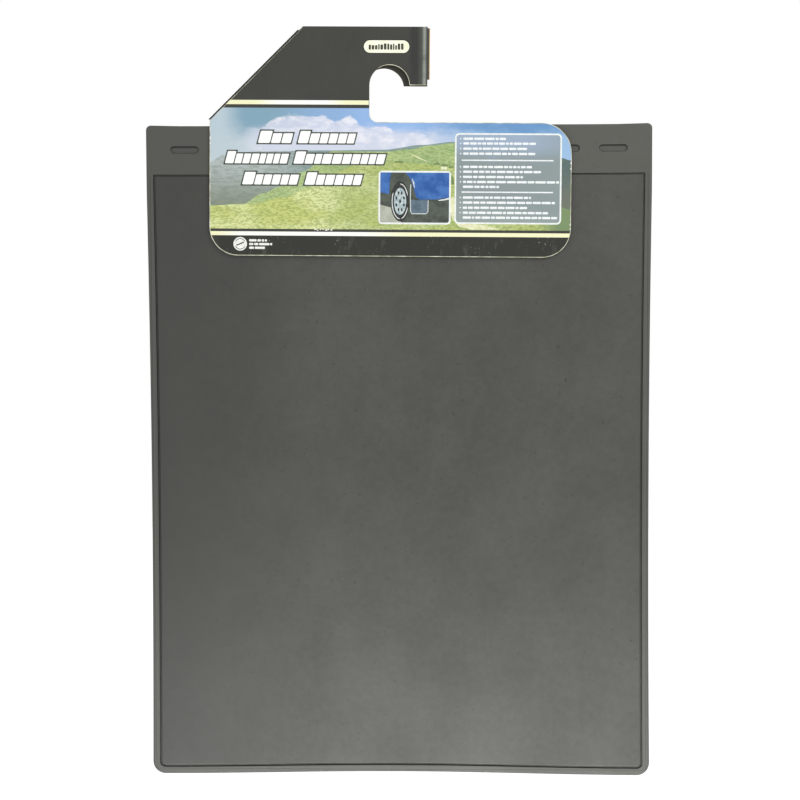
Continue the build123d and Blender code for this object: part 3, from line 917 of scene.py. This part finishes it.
def make_inset(white):
    """Small framed picture: the rear corner of a plain blue truck with a flap behind its wheel."""
    left, high = -13.4, -32.6
    wide, tall, rim, radius = 50.8, 37.4, 1.25, 2.6
    right, low = left + wide, high - tall
    print_area("print_inset_frame", [rounded_box(left, right, low, high, radius)], INK_2, white)
    inside = (left + rim, right - rim, low + rim, high - rim)

    def spot(across, down):
        """A place measured from the picture's upper left corner, kept inside its frame."""
        x = min(max(left + across, inside[0]), inside[1])
        return (x, min(max(high - down, inside[2]), inside[3]))

    shade = ink_finish("ink_inset_shade", (78, 84, 78), (96, 102, 94), 0.2)
    print_area("print_inset_shade", [rounded_box(*inside, radius - rim)], INK_3, shade)
    paint = ink_finish("ink_truck_paint", (62, 98, 160), (84, 124, 186), 0.12, roughness=0.25)
    body_left = [spot(*p) for p in ((1.2, 1.2), (8.9, 1.2), (8.0, 6.2), (7.5, 16.3), (1.2, 15.2))]
    body_right = [spot(*p) for p in ((18.9, 1.2), (49.6, 1.2), (49.6, 18.4), (41.2, 19.9), (29.0, 20.0),
                                     (26.4, 18.6), (24.4, 11.0), (22.3, 5.3))]
    lift = INK_3 + 0.01
    print_area("print_inset_truck", [body_left, body_right], lift, paint)
    pale = ink_finish("ink_inset_ground", (168, 172, 158), (188, 191, 178), 0.2)
    ground = [spot(*p) for p in ((1.2, 23.7), (9.4, 25.9), (12.6, 32.8), (16.4, 36.2), (2.4, 36.2),
                                 (1.2, 35.0))]
    print_area("print_inset_ground", [ground], lift, pale)
    hub = spot(15.2, 21.4)
    tyre_ink = ink_finish("ink_tyre", (58, 60, 58), (74, 76, 73), 0.4)
    print_area("print_inset_tyre", [oval(hub, 6.7, 14.0)], lift + 0.005, tyre_ink)
    sweeps = (range(150, 275, 10), range(280, 345, 10), range(20, 95, 10))
    ring = []
    for sweep in sweeps:
        turns = [math.radians(a) for a in sweep]
        path = [(hub[0] + 5.6 * math.cos(a), hub[1] + 12.2 * math.sin(a)) for a in turns]
        ring.append(ribbon(path, [0.25] + [0.6] * (len(path) - 2) + [0.25]))
    alloy = ink_finish("ink_wheel", (150, 170, 176), (206, 216, 216), 0.9)
    print_area("print_inset_wheel", [oval(hub, 4.3, 9.4)], lift + 0.015, alloy)
    holes = [oval((hub[0] + 2.9 * math.cos(a), hub[1] + 6.3 * math.sin(a)), 0.6, 1.25, 14)
             for a in [2 * math.pi * (k + 0.5) / 8 for k in range(8)]]
    holes.append(oval(hub, 0.7, 1.4, 16))
    print_area("print_inset_wheel_holes", holes, lift + 0.025, tyre_ink)
    lip_pts = [spot(22.6, 9.5), spot(22.4, 20.0), spot(22.6, 28.2), spot(23.6, 30.0), spot(33.4, 30.0),
               spot(34.8, 28.6), spot(34.9, 20.6)]
    lip = ribbon(lip_pts, [0.5] * len(lip_pts))
    glint = ribbon([spot(42.0, 20.6), spot(46.0, 20.1), spot(49.6, 19.2)], [0.5, 1.0, 1.2])
    streak = ribbon([spot(23.6, 5.6), spot(24.6, 8.4), spot(25.2, 12.0)], [0.4, 0.9, 0.3])
    bright = ink_finish("ink_inset_bright", (206, 212, 212), (236, 238, 236), 0.8)
    print_area("print_inset_bright", ring + [lip, glint, streak], INK_4, bright)
    flap_ink = ink_finish("ink_inset_flap", (92, 108, 120), (110, 126, 138), 0.2)
    small_flap = [spot(22.6, 20.2), spot(34.7, 20.6), spot(34.7, 28.4), spot(33.4, 29.8), spot(23.7, 29.8),
                  spot(22.7, 28.2)]
    print_area("print_inset_flap", [small_flap], lift + 0.01, flap_ink)


def make_marks():
    """Name plate with plain bars on the hook, and the round seal and rows of dashes on the foot band."""
    left, right, low, high = -24.3, 7.5, 49.3, 58.0
    half = (high - low) / 2
    dark = ink_finish("ink_plate_rim", (52, 53, 49), (60, 61, 57), 0.4)
    rim = 0.7
    plate_rim = rounded_box(left - rim, right + rim, low - rim, high + rim, half + rim - 0.01)
    print_area("print_plate_rim", [plate_rim], INK_1, dark)
    cream = ink_finish("ink_plate", (236, 238, 208), (250, 250, 232), 0.12)
    print_area("print_plate", [rounded_box(left, right, low, high, half - 0.01)], INK_2, cream)
    rng = random.Random(5)
    grey = ink_finish("ink_plate_type", (66, 68, 56), (86, 88, 74), 0.5)
    plate_bars = []
    x = left + 3.4
    while x < right - 4.6:
        wide = rng.uniform(0.9, 1.9)
        plate_bars.append(bar(x, x + wide, low + 2.2, high - 2.0 - rng.uniform(0.0, 1.5)))
        x += wide + 0.6
    print_area("print_plate_type", plate_bars, INK_3, grey)
    centre = (-110.7, -84.5)
    pale = ink_finish("ink_seal", (226, 228, 222), (246, 246, 240), 0.5)
    lines = []
    for z, end in ((-82.0, -91.8), (-84.6, -88.2), (-87.2, -92.6)):
        lines += dashes(rng, -104.4, end, z, 1.6)
    print_area("print_seal", [oval(centre, 4.8, 4.8)] + lines, INK_1, pale)
    grooves = [ribbon(arc(centre, 3.7, 25 + turn, 153 + turn), [0.4] * 9) for turn in (0, 180)]
    x, z = centre
    grooves.append(ribbon([(x - 2.6, z - 1.0), (x + 2.6, z + 1.2)], [0.8, 0.8]))
    print_area("print_seal_lines", grooves, INK_2, dark)


def make_wear():
    """Pale die-cut edge line round the front board, edge nicks and a scuff in the lower stripe."""
    notch_right = NOTCH_LEFT + 2 * NOTCH_RADIUS
    crown = (NOTCH_LEFT + NOTCH_RADIUS, TIP)
    bend = (CARD_RIGHT - SHOULDER_RADIUS, SHOULDER - SHOULDER_RADIUS)
    inner = 0.16
    foot = arc((CARD_LEFT + CARD_CORNER, CARD_BOTTOM + CARD_CORNER), CARD_CORNER - inner, 180, 270, 14)
    foot += arc((CARD_RIGHT - CARD_CORNER, CARD_BOTTOM + CARD_CORNER), CARD_CORNER - inner, 270, 360, 14)
    shoulder = arc(bend, SHOULDER_RADIUS - inner, 0, 90, 14)
    throat = arc((NOTCH_LEFT + THROAT_RADIUS, SHOULDER + THROAT_RADIUS), THROAT_RADIUS + inner, 270, 180, 8)
    notch = arc(crown, NOTCH_RADIUS + inner, 122, 0, 18)
    route = [(CARD_LEFT + inner, SLANT_FOOT)] + foot + shoulder + throat
    dense = []
    for (x0, z0), (x1, z1) in zip(route, route[1:]):
        count = max(1, int(math.hypot(x1 - x0, z1 - z0) / 2.5))
        dense += [(x0 + (x1 - x0) * k / count, z0 + (z1 - z0) * k / count) for k in range(count)]
    rng = random.Random(31)
    widths = [0.34 + 0.16 * rng.random() for _ in dense]
    slant = [(CARD_LEFT + 0.9, SLANT_FOOT + 0.2), (HOOK_TOP_LEFT + 0.2, HOOK_TOP - 0.5)]
    tip = [(notch_right, TIP + inner), (FOLD_X - 0.4, TIP + inner)]
    lines = [ribbon(dense, widths), ribbon(notch, [0.38] * len(notch))]
    lines += [ribbon(slant, [0.2, 0.12]), ribbon(tip, [0.5, 0.3])]
    edge_ink = ink_finish("ink_cut_edge", (176, 176, 150), (236, 234, 214), 0.12, roughness=0.7)
    print_area("print_cut_edge", lines, INK_2, edge_ink)
    nicks = []
    for x, z, tall in ((CARD_LEFT, -10.5, 2.6), (CARD_LEFT, -14.0, 1.4), (CARD_LEFT, -69.5, 1.6),
                       (CARD_RIGHT, -26.5, 2.4), (CARD_RIGHT, -30.5, 1.6), (CARD_RIGHT, -69.5, 1.6),
                       (CARD_RIGHT, -72.5, 1.2)):
        inward = 0.9 if x < 0 else -0.9
        nicks.append([(x, z - tall / 2), (x + inward, z - tall * 0.2),
                      (x + 0.6 * inward, z + tall * 0.3), (x, z + tall / 2)])
    for k in range(7):
        x = -58.6 + 1.9 * k
        z = PICTURE_BOTTOM - 0.5 + rng.uniform(-0.45, 0.45)
        nicks.append(bar(x, x + rng.uniform(1.0, 1.75), z - 0.4, z + rng.uniform(0.2, 0.55), 0.5))
    bare = ink_finish("ink_bare_paper", (232, 230, 218), (248, 247, 240), 0.6, roughness=0.75)
    print_area("print_nicks", nicks, INK_3, bare)


# ---- put the finishes on the CAD nodes that stay ----
def dress(node, material):
    obj = frame["nodes"][node]
    obj.data.materials.clear()
    obj.data.materials.append(material)


def make_flap():
    # dark tone for the rubber's specks and for the painted shade on its cut sides and in its slots
    edge = shown(56, 56, 53)
    rubber = rubber_finish("flap_rubber", shown(81, 81, 78), shown(91, 91, 87), edge, 0.55, 0.4)
    backing = rubber_finish("backing_rubber", shown(72, 72, 69), shown(82, 82, 78), edge, 0.68, 0.0)
    make_facing(rubber)
    make_backing(backing)
    make_scrim(scrim_finish())


def make_card():
    dress("card_print_sheet", board_finish())
    dress("card_liner", liner_finish("dark_liner", (60, 58, 54), (82, 79, 73)))
    dress("card_flute", liner_finish("kraft_flute", (128, 100, 68), (164, 134, 96)))
    dress("hook_glue", glue_finish("card_glue", (180, 170, 138), (204, 196, 166), 0.4, 0.0))
    dress("glue_dots", glue_finish("peel_glue", (196, 188, 156), (226, 220, 196), 0.2, 0.3))
    make_landscape()
    make_stripes()
    make_title()
    white = ink_finish("ink_frame_white", (226, 231, 228), (242, 245, 242), 0.3)
    make_info_panel(white)
    make_inset(white)
    make_marks()
    make_wear()


# ---- studio ----
def make_floor():
    """Plain pale floor, well under the hanging flap."""
    mesh = bmesh.new()
    reach, level = 4.0, FLAP_BOTTOM * MM - 0.35
    corners = ((-reach, -reach), (reach, -reach), (reach, reach), (-reach, reach))
    mesh.faces.new([mesh.verts.new((x, y, level)) for x, y in corners])
    data = bpy.data.meshes.new("studio_floor")
    mesh.to_mesh(data)
    mesh.free()
    look = Finish("studio_floor", 0.9)
    place = look.node("ShaderNodeTexCoord", {}, "Object")
    look.colour(look.blend(look.noise(place, 3.0), (0.93, 0.93, 0.93, 1), (0.96, 0.96, 0.96, 1)))
    look.shader.inputs["Emission Color"].default_value = (1, 1, 1, 1)
    look.shader.inputs["Emission Strength"].default_value = 0.14
    data.materials.append(look.material)
    floor = bpy.data.objects.new("studio_floor", data)
    bpy.context.scene.collection.objects.link(floor)


def softbox(name, place, target, size, watts, spread=180):
    """Rectangular area light at a place, aimed at a target."""
    light = bpy.data.lights.new(name, "AREA")
    light.shape = "RECTANGLE"
    light.spread = math.radians(spread)
    light.size, light.size_y = size
    light.energy = watts
    lamp = bpy.data.objects.new(name, light)
    lamp.location = place
    lamp.rotation_mode = "QUATERNION"
    lamp.rotation_quaternion = (Vector(target) - Vector(place)).to_track_quat("-Z", "Y")
    bpy.context.scene.collection.objects.link(lamp)


def make_studio():
    """White surround, a soft key from the upper right and a low fill that lights the foot of the flap."""
    world = bpy.data.worlds.new("studio_world")
    world.use_nodes = True
    surround = world.node_tree.nodes["Background"].inputs
    surround["Color"].default_value = (1, 1, 1, 1)
    surround["Strength"].default_value = 1.0
    bpy.context.scene.world = world
    softbox("key", place=(1.0, -1.4, 0.9), target=(0, 0, -0.1), size=(0.9, 0.9), watts=14)
    softbox("low_fill", place=(0.03, -0.45, -0.72), target=(0.02, 0, -0.44), size=(0.6, 0.2),
            watts=0.41, spread=40)
    make_floor()


def make_camera():
    """Camera at the photograph's viewing angle."""
    data = bpy.data.cameras.new("camera")
    data.lens = 95.4
    data.sensor_width = 36.0
    data.clip_start, data.clip_end = 0.05, 50.0
    camera = bpy.data.objects.new("camera", data)
    yaw, pitch, roll = math.radians(1.721), math.radians(-4.05), math.radians(0.19)
    aim = Matrix.Rotation(yaw, 4, "Z") @ Matrix.Rotation(pitch, 4, "X") @ Matrix.Rotation(roll, 4, "Y")
    place = Matrix.Translation((0.0456, -1.5, -0.071))
    upright = Matrix.Rotation(math.pi / 2, 4, "X")
    camera.matrix_world = place @ aim @ upright
    bpy.context.scene.collection.objects.link(camera)
    bpy.context.scene.camera = camera
    bpy.context.scene.view_settings.view_transform = "Standard"


make_flap()
make_card()
make_studio()
make_camera()
